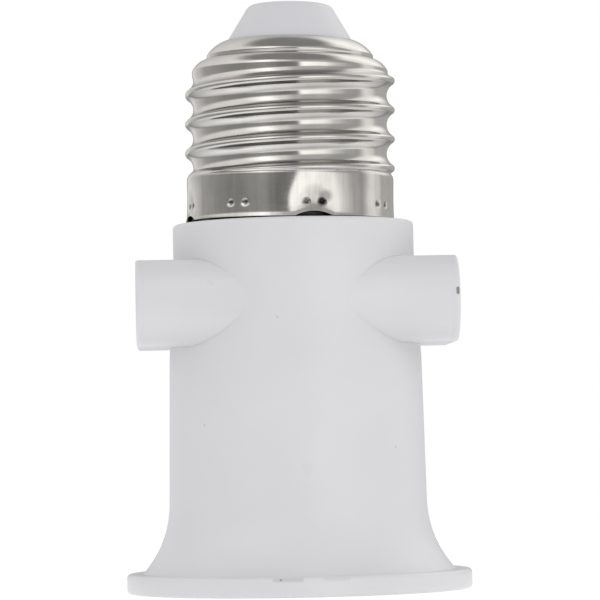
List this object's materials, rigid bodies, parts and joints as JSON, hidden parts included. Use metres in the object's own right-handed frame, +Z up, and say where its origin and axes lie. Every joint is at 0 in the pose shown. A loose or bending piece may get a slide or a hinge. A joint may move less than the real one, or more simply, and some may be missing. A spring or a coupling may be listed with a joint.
{
  "type": "lamp socket adapter",
  "caption": "White moulded lamp socket adapter with a screw cap on top, a lamp socket in its flared foot and an oval pin outlet on each side.",
  "frame": {"origin": "centre of the flange's underside, at the mouth of the lamp socket", "axes": "+Z up along the screw cap's axis, +X and -X out of the two side outlets"},
  "size_m": [0.0426, 0.0426, 0.074],
  "materials": {
    "white_plastic": "satin moulded",
    "tip_plastic": "satin moulded",
    "nickel": "nickel plated",
    "brass": "satin",
    "plated_sleeve": "nickel plated",
    "base_plastic": "matt",
    "rivet_metal": "satin"
  },
  "bodies": {
    "root": {"housing": "white_plastic", "base_ring": "white_plastic", "left_outlet_face": "white_plastic", "right_outlet_face": "white_plastic", "tip_insulator": "tip_plastic", "screw_shell": "nickel", "tip_contact": "brass", "socket_shell": "plated_sleeve", "contact_base": "base_plastic", "centre_contact": "brass", "centre_rivet": "rivet_metal", "shell_rivets": "rivet_metal", "live_busbar": "brass", "neutral_busbar": "brass", "live_lead": "brass", "neutral_lead": "brass"}
  },
  "joints": []
}
